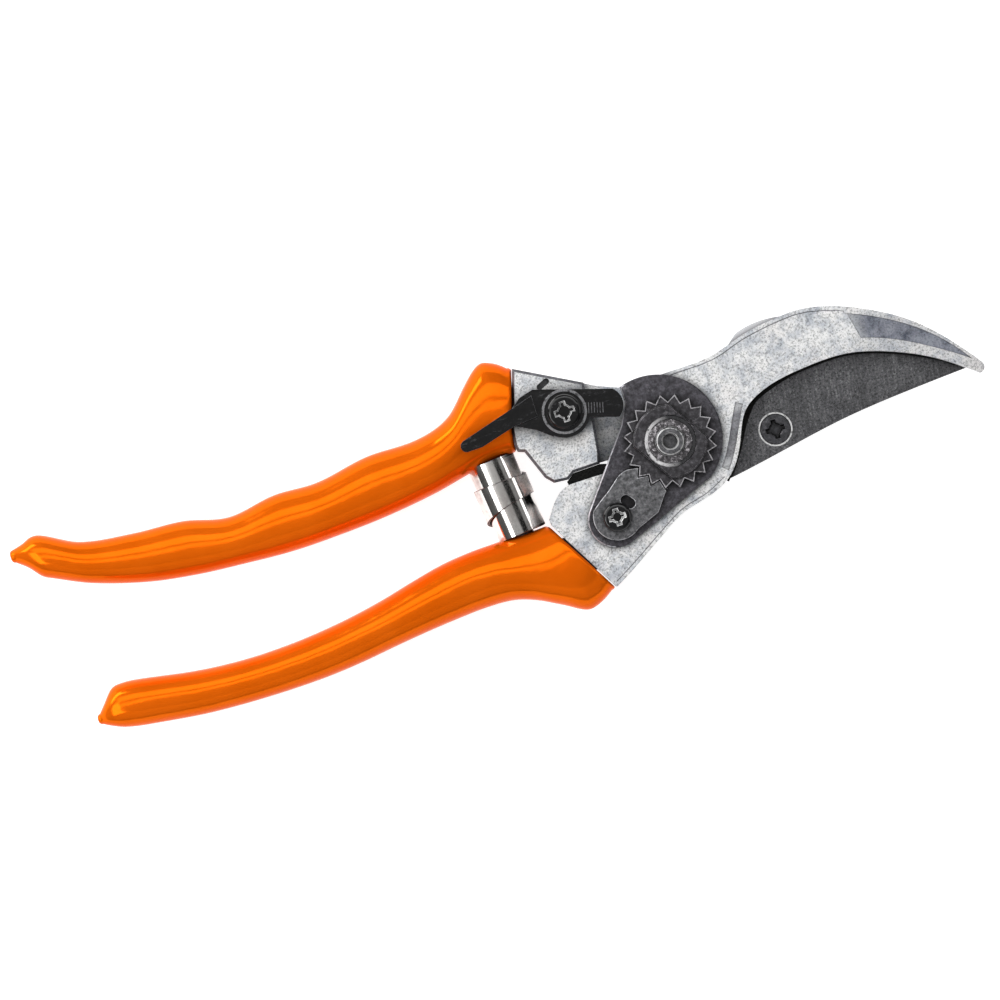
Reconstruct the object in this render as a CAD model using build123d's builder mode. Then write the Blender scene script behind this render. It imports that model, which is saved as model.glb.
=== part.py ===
"""Bypass pruner with a hooked counter blade, a toothed pivot nut with its locking segment,
a volute spring between two dipped grips, and a thumb catch that holds the tool shut.

Millimetres. The origin is on the pivot axis, on the flat back of the bolt's head. +X runs from
the handles to the tip, +Y towards the handle that carries the blade, +Z towards the nut.
The model is drawn shut and latched."""

import math
import os

from build123d import *

os.makedirs("parts", exist_ok=True)

# Heights of the stack along the pivot, from the back of the bolt's head to the front.
HEAD_H = 2.6
WASHER_T = 0.55
REAR_Z = 3.2
REAR_T = 4.2
BLADE_Z = REAR_Z + REAR_T
BLADE_T = 3.2
SLIDE_GAP = 0.1
HOOK_Z = BLADE_Z + BLADE_T + SLIDE_GAP
HOOK_T = 6.0
PLATE_Z = HOOK_Z + HOOK_T
PLATE_T = 1.8
NUT_Z = PLATE_Z + PLATE_T
FLANGE_T = 1.8
HUB_T = 1.3
SEGMENT_T = 1.6
NUT_TOP = NUT_Z + FLANGE_T + HUB_T
BOLT_TOP = NUT_TOP + 0.5
BOSS_TOP = PLATE_Z - SLIDE_GAP
BOSS_CHAMFER = 0.6

# Pivot radii.
BOLT_R = 4.5
THREAD_R = 3.3
HEAD_R = 8.0
BUSH_R = 6.0
RUNNING = 0.04
REAR_DISC_R = 13.2
CLEAR_R = 15.2
SOCKET_R = 1.75
BOLT_SOCKET_DEPTH = 2.4

# Nut and locking segment.
TEETH = 20
TOOTH_TIP_R = 10.35
TOOTH_ROOT_R = 8.6
TOOTH_PHASE = 13.5
HUB_R = 8.07
HUB_FLATS = 12.0
HUB_TURN = 33.0
DISH_R = 5.7
DISH_DEPTH = 0.5
MESH_GAP = 0.3
SEGMENT_SCREW = (-15.8, -12.4)
SEGMENT_SCREW_R = 1.9
SEGMENT_HEAD_R = 3.15
KEYHOLE = (-12.6, -9.9)

# Cutting blade: the height of the flat behind its edge, and the sap groove's depth.
EDGE_FLAT = 0.4
SAP_DEPTH = 1.0

# Blade screw, countersunk at this slope from its axis.
BLADE_SCREW = (23.0, -4.2)
BLADE_SCREW_R = 2.0
BLADE_HEAD_R = 3.3
COUNTERSINK = 41
COUNTERSINK_DEPTH = 1.5

# Screws in the forgings: the depth of their holes, and how far they reach in.
HOLE_DEPTH = 9.0
SCREW_REACH = 8.5

# Groove along the inner edge of the hook's neck, and the facet sunk in the front of its tip.
GROOVE_W = 1.7
GROOVE_DEPTH = 0.35
FACET_DEPTH = 0.25

# Thumb catch.
CATCH = (-20.1, 12.9)
CATCH_SCREW_R = 2.4
CATCH_HEAD_R = 3.8
CATCH_BOSS_R = 5.7
LATCH_BOSS_R = 4.8
CATCH_WASHER_R = 5.0
CATCH_WASHER_T = 0.6
LATCH_Z = BOSS_TOP + CATCH_WASHER_T
LATCH_T = 1.55
LEVER_Z = LATCH_Z + LATCH_T
LEVER_T = 1.55
TAB_T = 2.3
HEAD_T = 1.9
SEAT_GAP = 0.05
HEAD_ROUND = 0.8
SOCKET_DEPTH = 1.3
DIMPLE = (-22.8, 20.0)
DIMPLE_DEPTH = 0.9

# Grips and the cores inside them.
GRIP_MID = 9.0
GRIP_ROUND = 0.42
TANG_Z = 4.5
TANG_T = 9.0
TRIM_Z = -1.0
TRIM_T = 24.0

# Volute spring: its middle, its lean from +Y, and the rings of its three tiers.
SPRING_X = -37.6
SPRING_Y = -1.4
SPRING_LEAN = 6.5
SPRING_WALL = 0.8
SPRING_R = 5.5
SPRING_TOP = 7.2
SPRING_BOTTOM = -7.8
MIDDLE_TOP = 3.6
MIDDLE_BOTTOM = -4.0
PEG_R = 2.6
PEG_TIP = 3.4
UPPER_PEG_ROOT = 11.5
LOWER_PEG_ROOT = 12.5

# Cushion between the handles: its clearance at each face of the boss.
CUSHION_INSET = 0.8

lean = math.radians(SPRING_LEAN)
spring_origin = (SPRING_X, SPRING_Y, GRIP_MID)
# In this plane the spring's profile is drawn: its local Y is the spring's axis.
spring_side = Plane(origin=spring_origin, x_dir=(math.cos(lean), math.sin(lean), 0), z_dir=(0, 0, 1))
# In this plane the spring's rings are circles: its normal is the spring's axis.
spring_end = Plane(origin=spring_origin, x_dir=(0, 0, 1), z_dir=(-math.sin(lean), math.cos(lean), 0))

# Where the metal leaves each grip, from the outside of the tool to the gap between the handles.
upper_edge = [(-28.3, 25.2), (-30.3, 18.6), (-32.2, 12.8), (-32.6, 9.0), (-32.3, 7.5)]
lower_edge = [(-20.3, -27.0), (-22.0, -24.0), (-27.5, -14.5), (-30.0, -10.0), (-30.1, -8.7)]

# Grip sections from the tail to the head: x, lowest y, highest y, thickness along Z.
upper_sections = [
    (-145.0, 16.4, 19.3, 6.5),
    (-142.5, 14.6, 20.6, 11.0),
    (-138.5, 11.2, 20.6, 13.5),
    (-130.0, 7.2, 16.7, 14.5),
    (-118.0, 3.9, 15.1, 15.0),
    (-107.0, 2.3, 14.5, 15.3),
    (-97.0, 1.6, 12.4, 15.8),
    (-86.0, 1.1, 14.1, 16.5),
    (-76.0, 1.4, 14.0, 17.2),
    (-64.0, 2.3, 16.2, 17.7),
    (-52.0, 4.0, 16.6, 18.0),
    (-44.0, 5.8, 19.3, 18.0),
    (-37.5, 7.3, 25.8, 18.0),
    (-33.5, 7.6, 28.5, 18.0),
    (-30.6, 7.4, 27.5, 18.0),
    (-28.3, 7.0, 25.4, 17.8),
    (-25.0, 6.4, 20.6, 17.4),
]
lower_sections = [
    (-137.1, -22.8, -20.4, 6.5),
    (-135.6, -23.3, -18.9, 10.0),
    (-132.8, -24.5, -16.3, 12.5),
    (-126.5, -26.0, -15.7, 14.5),
    (-115.0, -27.3, -17.5, 15.0),
    (-107.5, -27.7, -18.2, 15.2),
    (-100.0, -27.8, -18.4, 15.5),
    (-92.5, -27.7, -18.1, 16.0),
    (-85.0, -27.3, -17.4, 16.5),
    (-77.5, -26.5, -16.3, 17.0),
    (-70.0, -25.4, -14.8, 17.5),
    (-62.5, -24.4, -12.9, 17.8),
    (-55.0, -23.6, -11.2, 18.0),
    (-48.5, -23.1, -10.4, 18.0),
    (-42.0, -23.3, -10.1, 18.0),
    (-37.0, -24.8, -10.0, 18.0),
    (-32.0, -27.3, -9.9, 18.0),
    (-25.8, -30.1, -9.4, 18.0),
    (-22.3, -29.3, -9.4, 18.0),
    (-19.8, -26.8, -9.4, 17.8),
    (-16.5, -21.5, -9.4, 17.4),
]

# Cores of the handles, which run inside the grips.
upper_tang = [
    (-31.0, 11.0),
    (-31.0, 20.5),
    (-37.0, 21.0),
    (-46.0, 14.0),
    (-68.0, 12.2),
    (-100.0, 9.6),
    (-132.0, 13.6),
    (-132.0, 10.4),
    (-100.0, 4.6),
    (-85.0, 4.2),
    (-52.0, 7.2),
]
lower_tang = [
    (-24.0, -18.0),
    (-27.0, -13.4),
    (-42.0, -13.4),
    (-55.0, -14.4),
    (-85.0, -20.3),
    (-126.5, -18.9),
    (-126.5, -22.6),
    (-100.0, -24.8),
    (-85.0, -24.4),
    (-42.0, -20.4),
    (-30.0, -24.0),
    (-23.0, -22.0),
]

# Boss of the blade's handle, from the top of the grip's edge round to its foot.
boss_outline = upper_edge + [
    (-30.9, 7.0),
    (-28.3, 0.4),
    (-26.7, -1.3),
    (-23.5, -1.5),
    (-22.0, -0.4),
    (-16.0, -0.2),
    (-15.3, 2.0),
    (-14.4, 9.0),
    (-14.2, 17.75),
    (-20.9, 21.3),
]


def toothed_ring(tip_r, root_r):
    """Points of a ring of pointed teeth about the pivot."""
    points = []
    for i in range(2 * TEETH):
        turn = math.radians(TOOTH_PHASE + 180.0 * i / TEETH)
        r = root_r if i % 2 else tip_r
        points.append((r * math.cos(turn), r * math.sin(turn)))
    return points


# Forging of the blade's handle: boss, core in the grip, and the web that carries the blade.
with BuildPart() as blade_frame:
    with BuildSketch(Plane.XY.offset(REAR_Z)):
        with BuildLine():
            Polyline(boss_outline, close=True)
        make_face()
    extrude(amount=BOSS_TOP - REAR_Z)
    chamfer(blade_frame.faces().sort_by(Axis.Z)[-1].edges(), BOSS_CHAMFER)
    with BuildSketch(Plane.XY.offset(REAR_Z)):
        Circle(REAR_DISC_R)
        with BuildLine():
            Polyline(
                [(-17.0, 0.0), (-17.0, 19.2), (-11.3, 16.2), (-7.2, 14.6), (0.0, 13.0), (-13.0, 0.0)],
                close=True,
            )
        make_face()
        with BuildLine():
            Polyline(
                [(4.0, 9.0), (25.0, 1.4), (27.9, -1.5), (27.9, -6.0), (24.0, -8.3), (4.0, -12.0)],
                close=True,
            )
        make_face()
    extrude(amount=REAR_T)
    with BuildSketch(Plane.XY.offset(TANG_Z)):
        with BuildLine():
            Polyline(upper_tang, close=True)
        make_face()
    extrude(amount=TANG_T)
    # Bushing bore, blade screw, catch screw, oval dimple and the peg's socket.
    with BuildSketch(Plane.XY.offset(REAR_Z)):
        Circle(BUSH_R)
        with Locations(BLADE_SCREW):
            Circle(BLADE_SCREW_R + RUNNING)
    extrude(amount=REAR_T, mode=Mode.SUBTRACT)
    with BuildSketch(Plane.XY.offset(BOSS_TOP)):
        with Locations(CATCH):
            Circle(CATCH_SCREW_R + RUNNING)
    extrude(amount=-HOLE_DEPTH, mode=Mode.SUBTRACT)
    with BuildSketch(Plane.XY.offset(BOSS_TOP)):
        with Locations(DIMPLE):
            SlotOverall(3.2, 1.3, rotation=25)
    extrude(amount=-DIMPLE_DEPTH, mode=Mode.SUBTRACT)
    with BuildSketch(spring_end.offset(PEG_TIP)):
        Circle(PEG_R)
    extrude(amount=UPPER_PEG_ROOT - PEG_TIP, mode=Mode.SUBTRACT)
blade_frame.part.label = "blade_frame"
export_step(blade_frame.part, "parts/blade_frame.step")

# Dipped grip of the blade's handle.
with BuildPart() as upper_grip:
    for x, low, high, thick in upper_sections:
        middle = (x, (low + high) / 2, GRIP_MID)
        with BuildSketch(Plane(origin=middle, x_dir=(0, 1, 0), z_dir=(1, 0, 0))):
            RectangleRounded(high - low, thick, GRIP_ROUND * min(high - low, thick))
    loft()
    with BuildSketch(Plane.XY.offset(TRIM_Z)):
        with BuildLine():
            Polyline(upper_edge + [(-32.3, 2.0), (-15.0, 2.0), (-15.0, 32.0), (-26.9, 32.0)], close=True)
        make_face()
    extrude(amount=TRIM_T, mode=Mode.SUBTRACT)
    with BuildSketch(Plane.XY.offset(TANG_Z)):
        with BuildLine():
            Polyline(upper_tang, close=True)
        make_face()
    extrude(amount=TANG_T, mode=Mode.SUBTRACT)
    with BuildSketch(spring_end.offset(PEG_TIP)):
        Circle(PEG_R)
    extrude(amount=UPPER_PEG_ROOT - PEG_TIP, mode=Mode.SUBTRACT)
upper_grip.part.label = "upper_grip"
export_step(upper_grip.part, "parts/upper_grip.step")

# The hook thins towards its tip, down to this plane.
tip_plane = Plane(
    origin=(45.0, 12.0, PLATE_Z), x_dir=(0.88, -0.47, -0.08), z_dir=(0.0707, -0.0376, 0.9968)
)

# The shape that the sunk facet takes out of the tip.
with BuildPart() as facet_cutter:
    with BuildSketch(Plane.XY.offset(HOOK_Z)):
        with BuildLine():
            Spline((45.0, 15.4), (50.0, 13.3), (56.0, 10.0), (62.0, 5.4), (68.4, -2.0))
            Spline((68.4, -2.0), (65.0, 0.4), (60.0, 3.5), (54.0, 6.7), (46.4, 9.4))
            Line((46.4, 9.4), (45.0, 15.4))
        make_face()
    extrude(amount=HOOK_T + 1)
    split(bisect_by=tip_plane.offset(-FACET_DEPTH), keep=Keep.TOP)

# Forging of the other handle: the hooked counter blade, its neck and the core in the grip.
with BuildPart() as hook_frame:
    with BuildSketch(Plane.XY.offset(HOOK_Z)):
        with BuildLine():
            Spline(
                (-4.2, 14.0),
                (5.0, 14.6),
                (14.0, 15.2),
                (22.0, 17.6),
                (30.0, 19.0),
                (34.0, 19.3),
                (41.0, 18.3),
                (49.5, 15.0),
                (58.0, 9.9),
                (65.4, 2.8),
                (70.2, -3.2),
            )
            ThreePointArc((70.2, -3.2), (70.3, -4.9), (69.3, -5.5))
            Spline(
                (69.3, -5.5),
                (66.5, -3.4),
                (60.8, 0.5),
                (52.3, 4.5),
                (42.7, 7.05),
                (32.5, 6.8),
                (22.3, 4.6),
                (17.8, 1.7),
                (14.9, -4.0),
                (11.0, -10.4),
                (9.8, -11.5),
            )
            Spline((9.8, -11.5), (4.5, -14.0), (-1.5, -15.7), (-7.0, -18.8), (-14.0, -23.3), (-20.3, -27.0))
            Polyline(lower_edge)
            Spline((-30.1, -8.7), (-28.9, -6.8), (-26.4, -3.9), (-22.8, -2.6))
            Polyline((-22.8, -2.6), (-15.6, -2.5), (-10.9, -1.5))
            ThreePointArc((-10.9, -1.5), (-8.8, 6.6), (-4.4, 10.08))
            Line((-4.4, 10.08), (-4.2, 14.0))
        make_face()
    extrude(amount=HOOK_T)
    with BuildSketch(tip_plane):
        Rectangle(60.0, 60.0, align=(Align.MIN, Align.CENTER))
    extrude(amount=10.0, mode=Mode.SUBTRACT)
    add(facet_cutter.part, mode=Mode.SUBTRACT)
    with BuildSketch(Plane.XY.offset(REAR_Z + SLIDE_GAP)):
        with BuildLine():
            Polyline(
                lower_edge + [(-26.8, -4.4), (-22.8, -2.7), (-16.5, -2.7), (-12.0, -21.4)],
                close=True,
            )
        make_face()
        Circle(CLEAR_R, mode=Mode.SUBTRACT)
    extrude(amount=HOOK_Z - REAR_Z - SLIDE_GAP)
    with BuildSketch(Plane.XY.offset(TANG_Z)):
        with BuildLine():
            Polyline(lower_tang, close=True)
        make_face()
    extrude(amount=TANG_T)
    # Groove beside the neck's inner edge.
    with BuildSketch(Plane.XY.offset(PLATE_Z)):
        with BuildLine():
            Spline((16.9, 3.6), (15.3, 0.6), (13.2, -3.8), (9.8, -9.2))
        trace(line_width=GROOVE_W)
    extrude(amount=-GROOVE_DEPTH, mode=Mode.SUBTRACT)
    # Bolt bore, segment screw and the peg's socket.
    with BuildSketch(Plane.XY.offset(HOOK_Z)):
        Circle(BOLT_R + RUNNING)
    extrude(amount=HOOK_T, mode=Mode.SUBTRACT)
    with BuildSketch(Plane.XY.offset(PLATE_Z)):
        with Locations(SEGMENT_SCREW):
            Circle(SEGMENT_SCREW_R + RUNNING)
    extrude(amount=-HOLE_DEPTH, mode=Mode.SUBTRACT)
    with BuildSketch(spring_end.offset(-LOWER_PEG_ROOT)):
        Circle(PEG_R)
    extrude(amount=LOWER_PEG_ROOT - PEG_TIP, mode=Mode.SUBTRACT)
hook_frame.part.label = "hook_frame"
export_step(hook_frame.part, "parts/hook_frame.step")

# Dipped grip of the hook's handle.
with BuildPart() as lower_grip:
    for x, low, high, thick in lower_sections:
        middle = (x, (low + high) / 2, GRIP_MID)
        with BuildSketch(Plane(origin=middle, x_dir=(0, 1, 0), z_dir=(1, 0, 0))):
            RectangleRounded(high - low, thick, GRIP_ROUND * min(high - low, thick))
    loft()
    with BuildSketch(Plane.XY.offset(TRIM_Z)):
        with BuildLine():
            Polyline(lower_edge + [(-30.1, -2.0), (-5.0, -2.0), (-5.0, -34.0), (-18.5, -34.0)], close=True)
        make_face()
    extrude(amount=TRIM_T, mode=Mode.SUBTRACT)
    with BuildSketch(Plane.XY.offset(TANG_Z)):
        with BuildLine():
            Polyline(lower_tang, close=True)
        make_face()
    extrude(amount=TANG_T, mode=Mode.SUBTRACT)
    with BuildSketch(spring_end.offset(-LOWER_PEG_ROOT)):
        Circle(PEG_R)
    extrude(amount=LOWER_PEG_ROOT - PEG_TIP, mode=Mode.SUBTRACT)
lower_grip.part.label = "lower_grip"
export_step(lower_grip.part, "parts/lower_grip.step")

# Cutting blade: flat in front, ground to its edge from behind.
with BuildPart() as blade:
    edge_points = [(67.4, -3.5), (58.0, 5.6), (46.0, 13.6), (36.0, 17.9), (27.1, 19.5), (20.6, 18.3)]
    ground_points = [(60.0, -3.9), (53.0, 2.2), (43.0, 9.4), (34.0, 13.3), (27.3, 14.4), (22.0, 13.4)]
    levels = [(BLADE_Z, ground_points), (BLADE_Z + BLADE_T - EDGE_FLAT, edge_points)]
    for z, points in levels:
        tip = points[0]
        with BuildSketch(Plane.XY.offset(z)):
            with BuildLine():
                Spline(points)
                Line(points[-1], (8.0, 7.55))
                ThreePointArc((8.0, 7.55), (-11.0, 0.0), (0.0, -11.0))
                Line((0.0, -11.0), (9.8, -11.7))
                Spline((9.8, -11.7), (22.6, -9.3), (38.2, -6.3), (50.0, -4.9), tip)
            make_face()
    loft()
    extrude(blade.faces().sort_by(Axis.Z)[-1], amount=EDGE_FLAT)
    # Sap groove beside the neck of the hook.
    with BuildSketch(Plane.XY.offset(BLADE_Z + BLADE_T)):
        with BuildLine():
            Spline((10.6, -11.9), (13.4, -8.0), (16.3, -2.0), (18.2, 0.9), (24.5, 4.9))
            Line((24.5, 4.9), (20.0, 6.5))
            Spline((20.0, 6.5), (14.0, 1.0), (10.0, -6.5), (6.0, -12.5))
            Line((6.0, -12.5), (10.6, -11.9))
        make_face()
    extrude(amount=-SAP_DEPTH, mode=Mode.SUBTRACT)
    with BuildSketch(Plane.XY.offset(BLADE_Z)):
        Circle(BUSH_R)
        with Locations(BLADE_SCREW):
            Circle(BLADE_SCREW_R + RUNNING)
    extrude(amount=BLADE_T, mode=Mode.SUBTRACT)
    with BuildSketch(Plane.XY.offset(BLADE_Z + BLADE_T)):
        with Locations(BLADE_SCREW):
            Circle(BLADE_HEAD_R + SLIDE_GAP)
    extrude(amount=-COUNTERSINK_DEPTH, taper=COUNTERSINK, mode=Mode.SUBTRACT)
blade.part.label = "blade"
export_step(blade.part, "parts/blade.step")


def cross_cutter(centre, top, reach, width):
    """The shape of a cross-head socket whose mouth is at height top."""
    with BuildPart() as cutter:
        with BuildSketch(Plane.XY.offset(top)):
            with Locations(centre):
                Rectangle(reach, width)
                Rectangle(width, reach)
                Circle(0.34 * reach)
        extrude(amount=-SOCKET_DEPTH, taper=8)
    return cutter.part


blade_screw_top = BLADE_Z + BLADE_T - SLIDE_GAP
segment_screw_top = NUT_Z + SEGMENT_T + HEAD_T
catch_screw_seat = LEVER_Z + LEVER_T + SEAT_GAP
catch_screw_top = catch_screw_seat + HEAD_T
blade_screw_socket = cross_cutter(BLADE_SCREW, blade_screw_top, 4.2, 1.1)
segment_screw_socket = cross_cutter(SEGMENT_SCREW, segment_screw_top, 3.6, 1.0)
catch_screw_socket = cross_cutter(CATCH, catch_screw_top, 4.4, 1.2)

# Countersunk screw of the blade, flush with the blade's front.
with BuildPart() as blade_screw:
    with BuildSketch(Plane.XY.offset(REAR_Z + SLIDE_GAP)):
        with Locations(BLADE_SCREW):
            Circle(BLADE_SCREW_R)
    extrude(amount=blade_screw_top - REAR_Z - SLIDE_GAP)
    with BuildSketch(Plane.XY.offset(blade_screw_top)):
        with Locations(BLADE_SCREW):
            Circle(BLADE_HEAD_R)
    extrude(amount=-COUNTERSINK_DEPTH, taper=COUNTERSINK)
    add(blade_screw_socket, mode=Mode.SUBTRACT)
blade_screw.part.label = "blade_screw"
export_step(blade_screw.part, "parts/blade_screw.step")

# Bolt of the pivot, with a plain flat head at the back and a socketed end in the nut.
with BuildPart() as pivot_bolt:
    with BuildSketch():
        Circle(HEAD_R)
    extrude(amount=HEAD_H)
    chamfer(pivot_bolt.edges().sort_by(Axis.Z)[0], 0.5)
    with BuildSketch(Plane.XY.offset(HEAD_H)):
        Circle(BOLT_R)
    extrude(amount=PLATE_Z - HEAD_H)
    with BuildSketch(Plane.XY.offset(PLATE_Z)):
        Circle(THREAD_R)
    extrude(amount=BOLT_TOP - PLATE_Z)
    chamfer(pivot_bolt.edges().sort_by(Axis.Z)[-1], 0.4)
    with BuildSketch(Plane.XY.offset(BOLT_TOP)):
        Circle(SOCKET_R)
    extrude(amount=-BOLT_SOCKET_DEPTH, mode=Mode.SUBTRACT)
pivot_bolt.part.label = "pivot_bolt"
export_step(pivot_bolt.part, "parts/pivot_bolt.step")

# Washer under the bolt's head.
with BuildPart() as head_washer:
    with BuildSketch(Plane.XY.offset(HEAD_H)):
        Circle(HEAD_R + 0.6)
        Circle(BOLT_R + RUNNING, mode=Mode.SUBTRACT)
    extrude(amount=WASHER_T)
head_washer.part.label = "head_washer"
export_step(head_washer.part, "parts/head_washer.step")

# Bushing that turns on the bolt with the blade.
with BuildPart() as pivot_bushing:
    with BuildSketch(Plane.XY.offset(REAR_Z)):
        Circle(BUSH_R)
        Circle(BOLT_R + RUNNING, mode=Mode.SUBTRACT)
    extrude(amount=REAR_T + BLADE_T)
pivot_bushing.part.label = "pivot_bushing"
export_step(pivot_bushing.part, "parts/pivot_bushing.step")

# Teardrop plate under the nut and the segment.
with BuildPart() as pivot_plate:
    with BuildSketch(Plane.XY.offset(PLATE_Z)):
        with BuildLine():
            ThreePointArc((-7.0, 14.5), (10.94, 5.96), (6.4, -9.9))
            Line((6.4, -9.9), (-14.2, -18.5))
            ThreePointArc((-14.2, -18.5), (-21.85, -15.3), (-21.25, -9.4))
            Polyline((-21.25, -9.4), (-9.2, 6.4), (-6.9, 11.0), (-7.0, 14.5))
        make_face()
        Circle(THREAD_R + RUNNING, mode=Mode.SUBTRACT)
        with Locations(SEGMENT_SCREW):
            Circle(SEGMENT_SCREW_R + RUNNING, mode=Mode.SUBTRACT)
    extrude(amount=PLATE_T)
    chamfer(pivot_plate.faces().sort_by(Axis.Z)[-1].outer_wire().edges(), 0.35)
pivot_plate.part.label = "pivot_plate"
export_step(pivot_plate.part, "parts/pivot_plate.step")

# Adjusting nut: toothed flange, hub with two flats, and a shallow dish round the bolt.
with BuildPart() as toothed_nut:
    with BuildSketch(Plane.XY.offset(NUT_Z)):
        with BuildLine():
            Polyline(toothed_ring(TOOTH_TIP_R, TOOTH_ROOT_R), close=True)
        make_face()
    extrude(amount=FLANGE_T)
    with BuildSketch(Plane.XY.offset(NUT_Z + FLANGE_T)):
        Circle(HUB_R)
        Rectangle(HUB_FLATS, 3 * HUB_R, rotation=HUB_TURN, mode=Mode.INTERSECT)
    extrude(amount=HUB_T)
    chamfer(toothed_nut.faces().sort_by(Axis.Z)[-1].edges(), 0.3)
    with BuildSketch(Plane.XY.offset(NUT_TOP)):
        Circle(DISH_R)
    extrude(amount=-DISH_DEPTH, mode=Mode.SUBTRACT)
    with BuildSketch(Plane.XY.offset(NUT_Z)):
        Circle(THREAD_R + RUNNING)
    extrude(amount=NUT_TOP - NUT_Z, mode=Mode.SUBTRACT)
toothed_nut.part.label = "toothed_nut"
export_step(toothed_nut.part, "parts/toothed_nut.step")

# Segment that meshes with the nut and keeps its setting.
with BuildPart() as locking_segment:
    with BuildSketch(Plane.XY.offset(NUT_Z)):
        with BuildLine():
            ThreePointArc((-12.2, -16.2), (-19.6, -15.8), (-20.4, -9.7))
            Spline((-20.4, -9.7), (-17.7, -7.6), (-15.2, -5.8), (-12.9, -3.9), (-10.4, -3.2))
            Polyline((-10.4, -3.2), (-5.0, -4.0), (-3.6, -9.6), (-5.0, -11.4), (-6.9, -14.0), (-12.2, -16.2))
        make_face()
        with BuildLine():
            Polyline(toothed_ring(TOOTH_TIP_R + MESH_GAP, TOOTH_ROOT_R + MESH_GAP), close=True)
        make_face(mode=Mode.SUBTRACT)
        with Locations(SEGMENT_SCREW):
            Circle(SEGMENT_SCREW_R + RUNNING, mode=Mode.SUBTRACT)
        with Locations(KEYHOLE):
            SlotOverall(3.4, 2.2, rotation=-52, mode=Mode.SUBTRACT)
    extrude(amount=SEGMENT_T)
locking_segment.part.label = "locking_segment"
export_step(locking_segment.part, "parts/locking_segment.step")

# Pan-head screw through the segment and the plate into the neck.
with BuildPart() as segment_screw:
    with BuildSketch(Plane.XY.offset(PLATE_Z - SCREW_REACH)):
        with Locations(SEGMENT_SCREW):
            Circle(SEGMENT_SCREW_R)
    extrude(amount=SCREW_REACH + PLATE_T + SEGMENT_T)
    with BuildSketch(Plane.XY.offset(NUT_Z + SEGMENT_T)):
        with Locations(SEGMENT_SCREW):
            Circle(SEGMENT_HEAD_R)
    extrude(amount=HEAD_T)
    fillet(segment_screw.edges().group_by(Axis.Z)[-1], HEAD_ROUND)
    add(segment_screw_socket, mode=Mode.SUBTRACT)
segment_screw.part.label = "segment_screw"
export_step(segment_screw.part, "parts/segment_screw.step")

# Thumb catch: a latch arm that stops against the plate, under a lever with a thumb tab.
with BuildPart() as catch_lever:
    with BuildSketch(Plane.XY.offset(LATCH_Z)):
        with Locations(CATCH):
            Circle(LATCH_BOSS_R)
        with BuildLine():
            Polyline(
                [(-22.7, 17.6), (-8.5, 14.2), (-8.1, 13.9), (-12.2, 9.2), (-16.7, 10.4), (-20.0, 12.0)],
                close=True,
            )
        make_face()
    extrude(amount=LATCH_T)
    with BuildSketch(Plane.XY.offset(LEVER_Z)):
        with Locations(CATCH):
            Circle(CATCH_BOSS_R)
        with BuildLine():
            Line((-25.4, 19.5), (-8.6, 14.6))
            ThreePointArc((-8.6, 14.6), (-7.2, 11.6), (-9.0, 8.3))
            Polyline(
                (-9.0, 8.3), (-16.0, 10.4), (-24.0, 8.4), (-27.0, 10.8), (-31.4, 13.0),
                (-31.5, 16.3), (-28.6, 18.6), (-25.4, 19.5),
            )
        make_face()
        with BuildLine():
            Polyline([(-25.4, 19.5), (-8.6, 14.6), (-8.6, 22.0), (-25.4, 22.0)], close=True)
        make_face(mode=Mode.SUBTRACT)
    extrude(amount=LEVER_T)
    with BuildSketch(Plane.XY.offset(LEVER_Z)):
        with BuildLine():
            Line((-26.0, 18.3), (-42.8, 13.2))
            ThreePointArc((-42.8, 13.2), (-43.9, 11.8), (-42.4, 10.6))
            Polyline((-42.4, 10.6), (-39.4, 10.7), (-31.4, 13.0), (-26.0, 13.6), (-26.0, 18.3))
        make_face()
    extrude(amount=TAB_T)
    with BuildSketch(Plane.XY.offset(LATCH_Z)):
        with Locations(CATCH):
            Circle(CATCH_SCREW_R + RUNNING)
    extrude(amount=LATCH_T + TAB_T, mode=Mode.SUBTRACT)
catch_lever.part.label = "catch_lever"
export_step(catch_lever.part, "parts/catch_lever.step")

# Friction washer under the catch.
with BuildPart() as catch_washer:
    with BuildSketch(Plane.XY.offset(BOSS_TOP)):
        with Locations(CATCH):
            Circle(CATCH_WASHER_R)
            Circle(CATCH_SCREW_R + RUNNING, mode=Mode.SUBTRACT)
    extrude(amount=CATCH_WASHER_T - SEAT_GAP)
catch_washer.part.label = "catch_washer"
export_step(catch_washer.part, "parts/catch_washer.step")

# Pan-head screw that the catch turns on.
with BuildPart() as catch_screw:
    with BuildSketch(Plane.XY.offset(BOSS_TOP - SCREW_REACH)):
        with Locations(CATCH):
            Circle(CATCH_SCREW_R)
    extrude(amount=SCREW_REACH + catch_screw_seat - BOSS_TOP)
    with BuildSketch(Plane.XY.offset(catch_screw_seat)):
        with Locations(CATCH):
            Circle(CATCH_HEAD_R)
    extrude(amount=HEAD_T)
    fillet(catch_screw.edges().group_by(Axis.Z)[-1], HEAD_ROUND)
    add(catch_screw_socket, mode=Mode.SUBTRACT)
catch_screw.part.label = "catch_screw"
export_step(catch_screw.part, "parts/catch_screw.step")

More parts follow.
